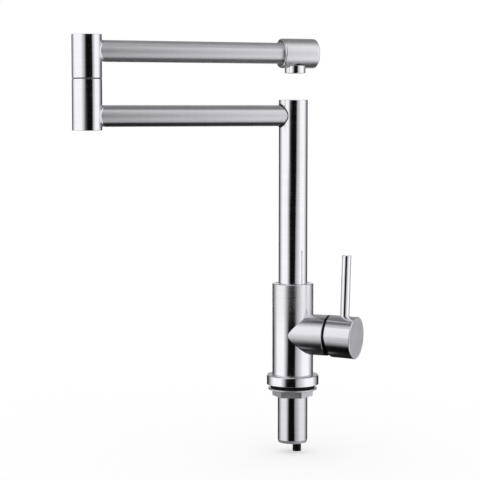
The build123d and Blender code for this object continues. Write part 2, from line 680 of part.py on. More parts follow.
def make_riser_spigot():
    seal_r = SEAL_SPIGOT_D / 2
    bore_r = SPIGOT_BORE_D / 2
    plug_r = RISER_D / 2 - RISER_WALL - FIT
    spigot = turned(
        (bore_r, SOCKET_FLOOR + AIR),
        (seal_r, SOCKET_FLOOR + AIR),
        (seal_r, FLANGE_BOTTOM),
        (FLANGE_D / 2, FLANGE_BOTTOM),
        (FLANGE_D / 2, RISER_FOOT),
        (plug_r, RISER_FOOT),
        (plug_r, RISER_FOOT + PLUG_IN_RISER),
        (bore_r, RISER_FOOT + PLUG_IN_RISER),
    )
    return spigot - seal_grooves(seal_r, RISER_SEAL_LOW, RISER_SEAL_PITCH)


def arm_tube(start, stop, height):
    """A length of arm tube along +X."""
    return along_arm(ring(ARM_D / 2, ARM_BORE_R, start, stop), height)


def make_lower_arm():
    arm = arm_tube(0, LOWER_REACH, LOWER_ARM_Z)
    arm -= upright(RISER_D / 2, LOWER_ARM_Z - ARM_D, LOWER_ARM_Z + ARM_D)
    arm -= upright(ELBOW_D / 2, LOWER_ARM_Z - ARM_D, LOWER_ARM_Z + ARM_D, LOWER_REACH)
    return on_lower_arm(arm)


def elbow_barrel(low, high, arm_z):
    """An elbow barrel with a rounded outer edge at each end and the arm's hole in its side."""
    barrel = ring(ELBOW_D / 2, ELBOW_BORE_R, low, high)
    barrel = rounded(barrel, (low, ELBOW_EDGE), (high, ELBOW_EDGE))
    return barrel - along_arm(rod(ARM_BORE_R, 0, ELBOW_D), arm_z)


def make_lower_elbow():
    barrel = elbow_barrel(ELBOW_BOTTOM, SEAM_BOTTOM, LOWER_ARM_Z)
    return on_lower_arm(Pos(LOWER_REACH, 0, 0) * Rot(0, 0, 180) * barrel)


def make_elbow_plug(low):
    return at_elbow(rod(ELBOW_BORE_R - FIT, low, low + PLUG_THICKNESS))


def make_elbow_socket():
    bore_r = ELBOW_PIN_D / 2 + RUN
    return at_elbow(ring(ELBOW_BORE_R - FIT, bore_r, ELBOW_SOCKET_BOTTOM, ELBOW_SOCKET_TOP))


def make_elbow_washer():
    """The thin slip washer that shows as a dark line between the two barrels."""
    outer = ELBOW_D / 2 - SEAM_RECESS
    return at_elbow(ring(outer, ELBOW_PIN_D / 2 + RUN, SEAM_BOTTOM, SEAM_TOP - FACE))


# ---- upper arm ----
def make_upper_elbow():
    return at_elbow(elbow_barrel(SEAM_TOP, ELBOW_TOP, UPPER_ARM_Z))


def make_elbow_pin():
    """The hollow pin of the upper barrel, which turns in the lower barrel's socket."""
    pin_r = ELBOW_PIN_D / 2
    head_r = ELBOW_BORE_R - FIT
    bore_r = ELBOW_PIN_BORE_D / 2
    low = CIRCLIP_TOP - CIRCLIP_THICKNESS - ELBOW_PIN_TAIL
    pin = turned(
        (bore_r, low),
        (pin_r, low),
        (pin_r, SEAM_TOP),
        (head_r, SEAM_TOP),
        (head_r, SEAM_TOP + ELBOW_PIN_HEAD),
        (bore_r, SEAM_TOP + ELBOW_PIN_HEAD),
    )
    pin -= seal_grooves(pin_r, ELBOW_SEAL_LOW, ELBOW_SEAL_PITCH)
    groove_low = CIRCLIP_TOP - CIRCLIP_THICKNESS
    pin -= ring(pin_r + PAST, pin_r - CIRCLIP_GROOVE_DEPTH, groove_low, CIRCLIP_TOP)
    return at_elbow(pin)


def make_elbow_circlip():
    pin_r = ELBOW_PIN_D / 2
    low = CIRCLIP_TOP - CIRCLIP_THICKNESS
    clip = ring(pin_r + CIRCLIP_PROUD, pin_r - CIRCLIP_GROOVE_DEPTH + FIT, low, CIRCLIP_TOP)
    gap = Pos(-ELBOW_PIN_D / 2, 0, low) * Box(ELBOW_PIN_D, CIRCLIP_OPENING, 4 * CIRCLIP_THICKNESS)
    return at_elbow(clip - gap)


def make_upper_arm():
    arm = arm_tube(0, UPPER_REACH - HEAD_BEHIND_NOZZLE + HEAD_SOCKET, UPPER_ARM_Z)
    arm -= upright(ELBOW_D / 2, UPPER_ARM_Z - ARM_D, UPPER_ARM_Z + ARM_D)
    return at_elbow(arm)


# ---- outlet head and aerator ----
def make_outlet_head():
    """A round hollow head: arm socket at its back, rounded closed front, nozzle hole below."""
    outer = HEAD_D / 2
    cavity_r = outer - HEAD_WALL
    back = -HEAD_BEHIND_NOZZLE
    front = HEAD_BEYOND_NOZZLE
    socket_r = ARM_D / 2 + FIT
    head = turned(
        (0, front),
        (outer, front),
        (outer, back),
        (socket_r, back),
        (socket_r, back + HEAD_SOCKET),
        (cavity_r, back + HEAD_SOCKET),
        (cavity_r, front - HEAD_WALL),
        (0, front - HEAD_WALL),
    )
    head = along_arm(rounded(head, (front, HEAD_ROUND), (back, HEAD_EDGE)), UPPER_ARM_Z)
    head -= upright(NOZZLE_D / 2 + FIT, NOZZLE_BOTTOM, UPPER_ARM_Z)
    return at_nozzle(head)


def make_outlet_nozzle():
    outer = NOZZLE_D / 2
    bore_r = outer - NOZZLE_WALL
    nozzle = turned(
        (bore_r, NOZZLE_BOTTOM),
        (outer, NOZZLE_BOTTOM),
        (outer, NOZZLE_TOP),
        (NOZZLE_THROAT_D / 2, NOZZLE_TOP),
        (NOZZLE_THROAT_D / 2, NOZZLE_SHOULDER),
        (bore_r, NOZZLE_SHOULDER),
    )
    nozzle = rounded(nozzle, (NOZZLE_BOTTOM, NOZZLE_EDGE))
    inside = along_arm(rod(HEAD_D / 2 - HEAD_WALL / 2, -NOZZLE_D, NOZZLE_D), UPPER_ARM_Z)
    below = upright(NOZZLE_D, NOZZLE_BOTTOM - PAST, UPPER_ARM_Z - HEAD_D / 2 + HEAD_WALL)
    return at_nozzle(nozzle & (inside + below))


def make_aerator_body():
    """The jet former: a cup with a honeycomb of holes in its floor."""
    cup = turned(
        (0, AERATOR_BOTTOM),
        (AERATOR_R, AERATOR_BOTTOM),
        (AERATOR_R, AERATOR_TOP),
        (AERATOR_R - AERATOR_WALL, AERATOR_TOP),
        (AERATOR_R - AERATOR_WALL, AERATOR_BOTTOM + GRID_THICKNESS),
        (0, AERATOR_BOTTOM + GRID_THICKNESS),
    )
    hole = rod(GRID_HOLE_D / 2, AERATOR_BOTTOM - PAST, AERATOR_BOTTOM + GRID_THICKNESS + PAST)
    limit = GRID_RINGS * GRID_PITCH + GRID_PITCH / 2
    row_step = GRID_PITCH * sqrt(3) / 2
    for row in range(-GRID_RINGS, GRID_RINGS + 1):
        holes_in_row = 2 * GRID_RINGS + 1 - abs(row)
        start = -(holes_in_row - 1) * GRID_PITCH / 2
        for step in range(holes_in_row):
            x = start + step * GRID_PITCH
            if x * x + (row * row_step) ** 2 < limit * limit:
                cup -= Pos(x, row * row_step, 0) * hole
    return at_nozzle(cup)


def make_aerator_sieve():
    low = AERATOR_TOP - SIEVE_THICKNESS
    return at_nozzle(rod(AERATOR_R - AERATOR_WALL - FIT, low, AERATOR_TOP))


def make_aerator_seal():
    return at_nozzle(ring(AERATOR_R, NOZZLE_THROAT_D / 2, AERATOR_TOP, NOZZLE_SHOULDER))


PIECES = {
    "shank": make_shank(),
    "base_gasket": ring(GASKET_D / 2, SHANK_HOLE_R, 0, RING_BOTTOM + GASKET_IN_RING),
    "base_ring": make_base_ring(),
    "pad_washer": ring(PAD_WASHER_D / 2, SHANK_HOLE_R, WASHER_TOP, 0),
    "clamp_washer": make_clamp_washer(),
    "clamp_nut": make_clamp_nut(),
    "valve_body": make_valve_body(),
    "cold_inlet_tail": make_tail(1, SHANK_BOTTOM - COLD_TAIL_BELOW_SHANK, True),
    "hot_inlet_tail": make_tail(-1, SHANK_BOTTOM + HOT_TAIL_ABOVE_SHANK_END, True),
    "inlet_tail_seals": make_tail_seals(),
    "cartridge_base_seals": make_base_seals(),
    "cartridge_base": make_cartridge_base(),
    "fixed_disc": make_fixed_disc(),
    "moving_disc": make_moving_disc(),
    "disc_carrier": make_disc_carrier(),
    "cartridge_turret": make_turret(),
    "lift_pin": across_pivot(PIVOT_PIN_D / 2, PIVOT_PIN_LENGTH),
    "cartridge_housing": make_cartridge_housing(),
    "cartridge_nut": make_cartridge_nut(),
    "trim_ring": make_trim_ring(),
    "spindle": make_spindle(),
    "handle_cap": make_handle_cap(),
    "lever": make_lever(),
    "handle_grub_screw": make_grub_screw(),
    "grub_screw_plug": make_screw_plug(),
    "riser_tube": make_riser_tube(),
    "riser_top_plug": rod(RISER_D / 2 - RISER_WALL - FIT, RISER_TOP - PLUG_THICKNESS, RISER_TOP),
    "riser_spigot": make_riser_spigot(),
    "riser_seals": ring_seals(SEAL_SPIGOT_D / 2, RISER_SEAL_LOW, RISER_SEAL_PITCH),
    "riser_thrust_washer": ring(COLLAR_R, SEAL_SPIGOT_D / 2 + RUN, SEAL_BORE_TOP, THRUST_WASHER_TOP),
    "riser_bush": ring(COLLAR_R, RISER_D / 2 + RUN, RISER_FOOT + FACE, COLLAR_RING_BOTTOM),
    "collar_ring": ring(COLLAR_R, RISER_D / 2 + COLLAR_PLAY, COLLAR_RING_BOTTOM, COLLAR_RING_TOP),
    "lower_arm_tube": make_lower_arm(),
    "lower_elbow_barrel": make_lower_elbow(),
    "lower_elbow_plug": make_elbow_plug(ELBOW_BOTTOM),
    "elbow_socket": make_elbow_socket(),
    "elbow_slip_washer": make_elbow_washer(),
    "upper_elbow_barrel": make_upper_elbow(),
    "upper_elbow_plug": make_elbow_plug(ELBOW_TOP - PLUG_THICKNESS),
    "elbow_pin": make_elbow_pin(),
    "elbow_seals": at_elbow(ring_seals(ELBOW_PIN_D / 2, ELBOW_SEAL_LOW, ELBOW_SEAL_PITCH)),
    "elbow_circlip": make_elbow_circlip(),
    "upper_arm_tube": make_upper_arm(),
    "outlet_head": make_outlet_head(),
    "outlet_nozzle": make_outlet_nozzle(),
    "aerator_body": make_aerator_body(),
    "aerator_sieve": make_aerator_sieve(),
    "aerator_seal": make_aerator_seal(),
}

os.makedirs("parts", exist_ok=True)
for name, piece in PIECES.items():
    export_step(piece, f"parts/{name}.step")
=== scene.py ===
import json
from math import cos, hypot, pi, radians, sin

import bmesh
import bpy
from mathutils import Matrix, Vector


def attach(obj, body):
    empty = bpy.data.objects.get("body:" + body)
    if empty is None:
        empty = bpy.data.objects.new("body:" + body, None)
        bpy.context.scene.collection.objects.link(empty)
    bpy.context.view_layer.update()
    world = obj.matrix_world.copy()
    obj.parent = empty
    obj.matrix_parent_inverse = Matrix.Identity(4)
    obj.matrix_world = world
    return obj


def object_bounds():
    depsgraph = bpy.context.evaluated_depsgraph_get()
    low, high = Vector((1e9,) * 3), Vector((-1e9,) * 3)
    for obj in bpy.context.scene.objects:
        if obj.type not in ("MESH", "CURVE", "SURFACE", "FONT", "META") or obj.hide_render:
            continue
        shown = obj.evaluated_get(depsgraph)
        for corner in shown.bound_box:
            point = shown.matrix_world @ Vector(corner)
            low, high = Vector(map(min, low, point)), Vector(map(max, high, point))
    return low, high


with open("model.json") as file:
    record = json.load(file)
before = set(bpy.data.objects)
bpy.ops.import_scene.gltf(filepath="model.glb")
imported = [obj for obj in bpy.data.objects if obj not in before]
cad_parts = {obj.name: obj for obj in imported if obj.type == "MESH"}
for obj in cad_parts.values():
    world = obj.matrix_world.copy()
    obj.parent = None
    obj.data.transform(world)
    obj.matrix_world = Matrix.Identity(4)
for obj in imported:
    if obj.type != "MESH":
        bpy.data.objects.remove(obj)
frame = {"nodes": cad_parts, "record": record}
CAD_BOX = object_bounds()
MM = 0.001

# ---- the tap's own sizes, the same as in the frame ----
BODY_R = 22.8 * MM
BARREL_Z = 57.8 * MM          # the height of the barrel's axis over the deck
PIVOT_X = 32.9 * MM           # from the shank's axis to the pivot that the lever lifts on
RING_TOP_Z = 12.0 * MM
SHANK_TIP_Z = -60.0 * MM      # where the shank's lead-in starts
CAP_TIP = radians(1.7)        # how far the cap leans at rest
CAP_RIM = 11.7 * MM           # from the lift pivot to the cap's open rim
CAP_CUT_ABOVE = 2.0 * MM      # the rim's cut starts this far above the cap's axis and goes down
CAP_CUT_SLOPE = 0.2           # how far the rim goes back for each length down
CAP_FACE = 42.2 * MM          # from the lift pivot to the cap's flat end
ARM_HEADING = radians(226.0)  # from the riser to the elbow, seen from above
ARM_R = 11.4 * MM
TUBE_R = 16.0 * MM            # the riser and the elbow's barrels
HEAD_BACK = 15.4 * MM         # from the riser's axis to the head's back, along the arm
HEAD_EDGE = 1.6 * MM          # the rounding of that back edge
LOWER_ARM_Z = 298.0 * MM
UPPER_ARM_Z = 365.8 * MM
LOWER_REACH = 234.6 * MM      # from the riser's axis to the elbow's

# ---- where a finish changes, and where shade is painted into its colour ----
BARREL_STARTS = BODY_R + 0.1 * MM               # from the shank's axis; farther out is the barrel
# painted shade: a darker band along the barrel's shoulder
BARREL_SHOULDER = (16.0 * MM, 19.0 * MM)        # above the barrel's axis, a darker band
BARREL_SHOULDER_EDGE = 1.5 * MM
# painted shade: the barrel's underside goes dark below these heights
BARREL_UNDERSIDE = (-14.5 * MM, -12.5 * MM)     # heights from its axis, over which it turns dark downwards
BODY_SOFTENS = (45.0 * MM, 100.0 * MM)          # heights, over which the body's finish gets softer
SHANK_END_EDGE = 0.5 * MM
# painted shade: the cap goes near black at its rim, for the shade in the gap
CAP_RIM_DARK = (0.4 * MM, 1.1 * MM)             # from the cap's rim, over which its dark edge ends
# painted shade: a dark line along each arm's shoulder and one along its underside
ARM_SHOULDER_HALF = 0.4 * MM                    # half the width of the line on an arm's shoulder
ARM_SHOULDER_EDGE = 2.0 * MM
ARM_UNDERSIDE = (8.1 * MM, 8.7 * MM)            # below an arm's axis, its dark line
ARM_UNDERSIDE_EDGE = 2.2 * MM
FACE_EDGE = (-0.1 * MM, -0.02 * MM)             # under a flat face, where its finish starts
HEAD_EDGE_FADE = 0.2 * MM

# ---- the floor and the light ----
FLOOR_Z = CAD_BOX[0][2]
FLOOR_HALF = 30.0             # half the width of the floor
FLOOR_PAINT = (0.6, 0.6, 0.6, 1)
FLOOR_GLOW = 0.52             # what the floor gives of itself, for the camera alone
PLAIN_LIGHT = 0.8             # the surround's strength, where no camera, mirror or glass sees it

# ---- camera, at the photograph's angle ----
CAMERA_AZIMUTH = radians(24.13)
CAMERA_PITCH = radians(4.51)  # downwards
CAMERA_PLACE = (694.0 * MM, -1692.1 * MM, 305.5 * MM)
CAMERA_LENS = 124.7
SENSOR = 36.0


# ---- small helpers for node trees ----
def node(tree, kind, values=None, **settings):
    """Adds a node, sets its properties and the values of its inputs."""
    made = tree.nodes.new(kind)
    for key, value in settings.items():
        setattr(made, key, value)
    for key, value in (values or {}).items():
        made.inputs[key].default_value = value
    return made


def link(tree, source, target):
    tree.links.new(source, target)


def ramp(tree, source, stops):
    """A colour ramp with (place, grey) stops."""
    made = node(tree, "ShaderNodeValToRGB")
    elements = made.color_ramp.elements
    while len(elements) < len(stops):
        elements.new(0.5)
    for element, (place, grey) in zip(elements, stops):
        element.position = place
        element.color = (grey, grey, grey, 1)
    link(tree, source, made.inputs["Fac"])
    return made.outputs["Color"]


def give(tree, target, value):
    """Links a socket to an input, or sets the input to a constant."""
    if isinstance(value, bpy.types.NodeSocket):
        link(tree, value, target)
    else:
        target.default_value = value


def fill(tree, made, values):
    """Gives a node's first inputs their values, each a socket or a constant."""
    for target, value in zip(made.inputs, values):
        give(tree, target, value)


def math(tree, operation, *values):
    """A math node; each of its values is a socket or a number."""
    made = node(tree, "ShaderNodeMath", operation=operation)
    fill(tree, made, values)
    return made.outputs["Value"]


def span(tree, value, low, high, to_low=0.0, to_high=1.0):
    """Maps a value from low..high to another span, smoothly and clamped."""
    values = {"From Min": low, "From Max": high, "To Min": to_low, "To Max": to_high}
    made = node(tree, "ShaderNodeMapRange", values, interpolation_type="SMOOTHSTEP")
    link(tree, value, made.inputs["Value"])
    return made.outputs["Result"]


def band(tree, value, low, high, edge):
    """1 where a value lies between low and high, fading to 0 within an edge outside them."""
    rises = span(tree, value, low - edge, low)
    falls = span(tree, value, high, high + edge, 1.0, 0.0)
    return math(tree, "MULTIPLY", rises, falls)


def noise(tree, vector, scale, detail=2.0):
    made = node(tree, "ShaderNodeTexNoise", {"Detail": detail})
    link(tree, vector, made.inputs["Vector"])
    give(tree, made.inputs["Scale"], scale)
    return made.outputs["Fac"]


def combined(tree, *values):
    """A vector of three sockets or numbers."""
    made = node(tree, "ShaderNodeCombineXYZ")
    fill(tree, made, values)
    return made.outputs["Vector"]


def parts_of(tree, vector):
    """A vector's X, Y and Z."""
    made = node(tree, "ShaderNodeSeparateXYZ")
    link(tree, vector, made.inputs["Vector"])
    return made.outputs


def vector_math(tree, operation, *values):
    """A vector math node; each of its values is a socket or a vector."""
    made = node(tree, "ShaderNodeVectorMath", operation=operation)
    fill(tree, made, values)
    return made.outputs["Value" if operation == "LENGTH" else "Vector"]


def blend(tree, factor, first, second):
    """The first vector where the factor is 0, the second where it is 1."""
    made = node(tree, "ShaderNodeMix", data_type="VECTOR")
    for key, value in (("Factor", factor), ("A", first), ("B", second)):
        link(tree, value, made.inputs[key])
    return made.outputs["Result"]


def stretched(tree, vector, across, along):
    """Scales a vector, with its own value along Z."""
    return vector_math(tree, "MULTIPLY", vector, combined(tree, across, across, along))


def mixed(tree, first, second, share):
    """The share of the first value, and the rest of the second."""
    return math(tree, "MULTIPLY_ADD", first, share, math(tree, "MULTIPLY", second, 1.0 - share))


# ---- the studio: white surround, pale floor and dark cards ----
def new_object(name, mesh):
    made = bpy.data.objects.new(name, mesh)
    bpy.context.scene.collection.objects.link(made)
    return made


def empty_material(name):
    material = bpy.data.materials.new(name)
    material.use_nodes = True
    material.node_tree.nodes.clear()
    return material


def dressed(name, mesh):
    """Gives a mesh a new material, still empty, and returns its tree."""
    material = empty_material(name)
    mesh.materials.append(material)
    return material.node_tree


def set_as_card(name, mesh, tree, along, tones):
    """Ends a card's material with its tones, and turns the card to face the camera.

    Only reflections show a card.
    """
    glow = node(tree, "ShaderNodeEmission")
    link(tree, ramp(tree, along, tones), glow.inputs["Color"])
    link(tree, glow.outputs["Emission"], node(tree, "ShaderNodeOutputMaterial").inputs["Surface"])
    card = new_object(name, mesh)
    card.rotation_euler = (0, 0, CAMERA_AZIMUTH)
    card.visible_camera = False
    card.visible_diffuse = False
    card.visible_transmission = False
    card.visible_volume_scatter = False
    card.visible_shadow = False


def make_upright_card(name, start, end, rows, tones):
    """A card from start to end, each (to the camera's right, towards the camera), with tones along it.

    Each row is a height and how far the tones are moved towards the end there.
    """
    mesh = bpy.data.meshes.new(name)
    corners = [(right, -near, up) for up, _ in rows for right, near in (start, end)]
    faces = [(low, low + 1, low + 3, low + 2) for low in range(0, 2 * len(rows) - 2, 2)]
    mesh.from_pydata(corners, [], faces)
    length = hypot(end[0] - start[0], end[1] - start[1])
    layer = mesh.uv_layers.new(name="along")
    for loop, place in zip(mesh.loops, layer.data):
        row, side = divmod(loop.vertex_index, 2)
        up, moved = rows[row]
        place.uv = (side - moved / length, up)
    tree = dressed(name, mesh)
    along = parts_of(tree, node(tree, "ShaderNodeUVMap", uv_map="along").outputs["UV"])["X"]
    set_as_card(name, mesh, tree, along, tones)


def make_level_card(name, centre, height, radius, tones):
    """A round level card, its tones running from the centre to the rim."""
    mesh = bpy.data.meshes.new(name)
    shape = bmesh.new()
    bmesh.ops.create_circle(shape, cap_ends=True, segments=64, radius=radius)
    bmesh.ops.translate(shape, verts=shape.verts, vec=(centre[0], -centre[1], height))
    shape.to_mesh(mesh)
    shape.free()
    tree = dressed(name, mesh)
    seat = {"Location": (-centre[0] / radius, centre[1] / radius, 0), "Scale": (1 / radius, 1 / radius, 0)}
    place = node(tree, "ShaderNodeMapping", seat)
    link(tree, node(tree, "ShaderNodeTexCoord").outputs["Object"], place.inputs["Vector"])
    along = vector_math(tree, "LENGTH", place.outputs["Vector"])
    set_as_card(name, mesh, tree, along, tones)


def make_floor():
    """A wide pale floor: white where the light reaches it, with the tap's soft shadow."""
    mesh = bpy.data.meshes.new("studio_floor")
    corners = [(x * FLOOR_HALF, y * FLOOR_HALF, FLOOR_Z) for x, y in ((-1, -1), (1, -1), (1, 1), (-1, 1))]
    mesh.from_pydata(corners, [], [(0, 1, 2, 3)])
    floor = new_object("studio_floor", mesh)
    floor.visible_glossy = False
    tree = dressed("studio_floor", mesh)
    both = node(tree, "ShaderNodeAddShader")
    paint = node(tree, "ShaderNodeBsdfDiffuse", {"Color": FLOOR_PAINT})
    link(tree, paint.outputs["BSDF"], both.inputs[0])
    seen = node(tree, "ShaderNodeLightPath").outputs["Is Camera Ray"]
    glow = node(tree, "ShaderNodeEmission")
    link(tree, math(tree, "MULTIPLY", seen, FLOOR_GLOW), glow.inputs["Strength"])
    link(tree, glow.outputs["Emission"], both.inputs[1])
    link(tree, both.outputs["Shader"], node(tree, "ShaderNodeOutputMaterial").inputs["Surface"])


def make_surround():
    """White all round for the camera, mirrors and glass, soft plain light for the rest."""
    world = bpy.data.worlds.new("studio")
    bpy.context.scene.world = world
    world.use_nodes = True
    tree = world.node_tree
    tree.nodes.clear()
    path = node(tree, "ShaderNodeLightPath").outputs
    seen = math(tree, "MAXIMUM", path["Is Camera Ray"], path["Is Glossy Ray"])
    seen = math(tree, "MAXIMUM", seen, path["Is Transmission Ray"])
    light = node(tree, "ShaderNodeBackground", {"Color": (1, 1, 1, 1), "Strength": PLAIN_LIGHT})
    white = node(tree, "ShaderNodeBackground", {"Color": (1, 1, 1, 1), "Strength": 1.0})
    mix = node(tree, "ShaderNodeMixShader")
    link(tree, seen, mix.inputs["Fac"])
    link(tree, light.outputs["Background"], mix.inputs[1])
    link(tree, white.outputs["Background"], mix.inputs[2])
    link(tree, mix.outputs["Shader"], node(tree, "ShaderNodeOutputWorld").inputs["Surface"])


def make_camera():
    camera = new_object("camera", bpy.data.cameras.new("camera"))
    camera.data.lens = CAMERA_LENS
    camera.data.sensor_width = SENSOR
    camera.location = CAMERA_PLACE
    camera.rotation_euler = (pi / 2 - CAMERA_PITCH, 0, CAMERA_AZIMUTH)
    bpy.context.scene.camera = camera


# The upright cards draw the stripes on the upright tubes, the level ones those on the arms and the barrel.
# A card's tones are (share of the way along it or out from its centre, grey).
# Its rows are (height, how many metres its tones are moved towards its end there).
FRONT_TONES = (
    (0.355, 1.0), (0.467, 0.72), (0.533, 0.5), (0.578, 0.3), (0.607, 0.12), (0.633, 0.03), (0.653, 0.004),
)
FRONT_ROWS = (
    (-1.2, -0.4), (-0.45, -0.35), (-0.22, -0.2), (-0.12, -0.1), (0.0, -0.1), (0.1, -0.2), (0.2, 0.35),
    (2.2, 0.4),
)
FADING_TONES = (
    (0.1, 0.005), (0.125, 0.26), (0.2, 0.45), (0.3, 0.58), (0.4, 0.68), (0.5, 0.77), (0.62, 0.9), (0.8, 1.0),
)
FADING_ROWS = (
    (-1.2, 0.05), (-0.25, 0.0), (-0.15, -0.06), (-0.05, -0.08), (0.12, 0.0), (0.22, 0.07), (0.38, 0.11),
    (0.46, 0.0), (2.2, -0.1),
)
STRIPE_TONES = ((0.0, 0.3), (0.16, 0.13), (0.3, 0.06), (0.4, 0.02), (0.52, 0.008), (0.7, 0.003))
STRIPE_ROWS = ((0.17, 0.0), (0.325, 0.0))
EDGE_TONES = ((0.0, 1.0), (0.14, 0.8), (0.36, 0.5), (0.62, 0.24), (0.85, 0.06), (1.0, 0.03))
DARK_TONES = ((0.0, 0.03), (1.0, 0.03))
TALL_ROWS = ((-1.2, 0.0), (1.6, 0.0))
LOWER_TONES = (
    (0.42, 0.02), (0.47, 0.002), (0.57, 0.004), (0.6, 0.04), (0.625, 0.11), (0.7, 0.27), (0.788, 0.39),
    (0.924, 0.48), (1.0, 0.55),
)
UPPER_TONES = (
    (0.0, 0.5), (0.29, 0.4), (0.43, 0.27), (0.52, 0.22), (0.736, 0.17), (0.762, 0.21), (0.8, 0.13),
    (0.826, 0.19), (0.848, 0.33), (0.876, 0.47), (0.906, 0.6), (1.0, 0.68),
)
UPRIGHT_CARDS = (       # name, start and end (each to the camera's right, towards the camera), rows, tones
    ("front_card", (-3.5, 1.62), (1.0, 1.62), FRONT_ROWS, FRONT_TONES),
    ("fading_card", (0.06, 0.587), (1.2, 0.587), FADING_ROWS, FADING_TONES),
    ("stripe_card", (-0.367, 0.6), (0.06, 0.6), STRIPE_ROWS, STRIPE_TONES),
    ("left_card", (-1.3, -0.1), (-1.3, -1.5), TALL_ROWS, EDGE_TONES),
    ("right_card", (1.3, -0.1), (1.3, -1.5), TALL_ROWS, EDGE_TONES),
    ("left_back_card", (-1.3, -1.5), (-0.55, -1.5), TALL_ROWS, DARK_TONES),
    ("right_back_card", (0.55, -1.5), (1.3, -1.5), TALL_ROWS, DARK_TONES),
)
LEVEL_CARDS = (         # name, centre (to the camera's right, towards the camera), height, radius, tones
    ("lower_card", (-1.175, -0.8), -0.9, 2.5, LOWER_TONES),
    ("under_card", (0.5, -0.45), -0.6, 0.5, DARK_TONES),
    ("upper_card", (-0.6, -1.6), 1.0, 2.1, UPPER_TONES),
)


def make_studio():
    bpy.context.scene.view_settings.view_transform = "Standard"
    make_surround()
    make_floor()
    for card in UPRIGHT_CARDS:
        make_upright_card(*card)
    for card in LEVEL_CARDS:
        make_level_card(*card)
    make_camera()


# ---- shader groups that several finishes share ----
NOISE_SPAN = (0.3, 0.7)             # where most of a noise's values lie
FINE_SHARE = 0.6                    # how much of the grain is its fine lines, the rest is its coarse ones
COARSE_LINES = 0.16                 # how many coarse lines there are to each fine one
SMUDGES = (0.42, 0.72)              # the noise values over which smudges come in
SCRATCHES = (0.74, 0.8)             # and those for scratches
SCRATCH_SCALES = (900.0, 18.0)      # across a scratch and along it
SCRATCH_TURN = (0.5, 0.9, 0.3)
FLOW_SCALE = 60.0                   # the cloudy part of a moulded skin
SPECKLE_SHARE = 0.4                 # how much of the skin's tone is its speckle, the rest is cloudy


def new_group(name, inputs, outputs):
    """A shader node group with float inputs (after a vector), and its input and output nodes."""
    tree = bpy.data.node_groups.new(name, "ShaderNodeTree")
    tree.interface.new_socket("Vector", in_out="INPUT", socket_type="NodeSocketVector")
    for key, value in inputs.items():
        tree.interface.new_socket(key, in_out="INPUT", socket_type="NodeSocketFloat").default_value = value
    for key in outputs:
        tree.interface.new_socket(key, in_out="OUTPUT", socket_type="NodeSocketFloat")
    return tree, node(tree, "NodeGroupInput"), node(tree, "NodeGroupOutput")


def make_turning_grain():
    """Fine lines round the vector's Z axis, in two sizes: lines per metre, and how fast they drift."""
    tree, given, result = new_group("turning_grain", {"Lines": 2600.0, "Drift": 30.0}, ("Grain", "Height"))
    vector = given.outputs["Vector"]
    drift = given.outputs["Drift"]
    fine = noise(tree, stretched(tree, vector, drift, given.outputs["Lines"]), 1.0)
    coarse_lines = math(tree, "MULTIPLY", given.outputs["Lines"], COARSE_LINES)
    coarse = noise(tree, stretched(tree, vector, drift, coarse_lines), 1.0, 4.0)
    both = mixed(tree, fine, coarse, FINE_SHARE)
    link(tree, span(tree, both, *NOISE_SPAN), result.inputs["Grain"])
    link(tree, fine, result.inputs["Height"])
    return tree


def make_handling_marks():
    """Cloudy smudges and a few hairline scratches, as masks."""
    tree, given, result = new_group("handling_marks", {"Size": 30.0}, ("Smudge", "Scratch"))
    clouds = noise(tree, given.outputs["Vector"], given.outputs["Size"], 4.0)
    link(tree, span(tree, clouds, *SMUDGES), result.inputs["Smudge"])
    turned = node(tree, "ShaderNodeMapping", {"Rotation": SCRATCH_TURN})
    link(tree, given.outputs["Vector"], turned.inputs["Vector"])
    hairs = noise(tree, stretched(tree, turned.outputs["Vector"], *SCRATCH_SCALES), 1.0)
    link(tree, span(tree, hairs, *SCRATCHES), result.inputs["Scratch"])
    return tree


def make_moulded_skin():
    """The fine skin of rubber, plastic and ceramic: a tone and a height."""
    tree, given, result = new_group("moulded_skin", {"Size": 1500.0}, ("Tone", "Height"))
    speckle = noise(tree, given.outputs["Vector"], given.outputs["Size"], 3.0)
    flow = noise(tree, given.outputs["Vector"], FLOW_SCALE, 3.0)
    link(tree, mixed(tree, speckle, flow, SPECKLE_SHARE), result.inputs["Tone"])
    link(tree, speckle, result.inputs["Height"])
    return tree


STEEL = (0.948, 0.944, 0.988)
CAP_STEEL = (0.84, 0.835, 0.885)
SHANK_STEEL = (0.755, 0.75, 0.79)
GRAIN_SHADE = 0.94            # the grain's darker tone, as a share of the metal's colour
GRAIN_DEPTH = 0.02 * MM
SMOOTH_RELIEF = 0.03          # how strong the grain's relief is on smooth turned pieces
SMOOTH = {"marks": 0.04, "relief": SMOOTH_RELIEF}
SKIN_RELIEF = 0.3             # how strong a moulded skin's relief is
SKIN_ROUGHNESS = 0.06         # how far a moulded skin's roughness goes up and down
ALONG_X = (0, pi / 2, 0)
ALONG_ARM = (0, pi / 2, ARM_HEADING)
GRAIN = make_turning_grain()
MARKS = make_handling_marks()
SKIN = make_moulded_skin()


# ---- finishes ----
def new_material(name):
    material = empty_material(name)
    tree = material.node_tree
    shader = node(tree, "ShaderNodeBsdfPrincipled")
    link(tree, shader.outputs["BSDF"], node(tree, "ShaderNodeOutputMaterial").inputs["Surface"])
    return material, tree, shader


def placed_group(tree, group, vector, values):
    made = node(tree, "ShaderNodeGroup", node_tree=group)
    link(tree, vector, made.inputs["Vector"])
    for key, value in values.items():
        made.inputs[key].default_value = value
    return made.outputs


def tinted(tree, factor, colour, darker):
    """A colour that a factor takes from a darker shade of itself to itself."""
    mix = node(tree, "ShaderNodeMix", data_type="RGBA")
    link(tree, factor, mix.inputs["Factor"])
    mix.inputs["A"].default_value = (*[channel * darker for channel in colour], 1)
    mix.inputs["B"].default_value = (*colour, 1)
    return mix.outputs["Result"]


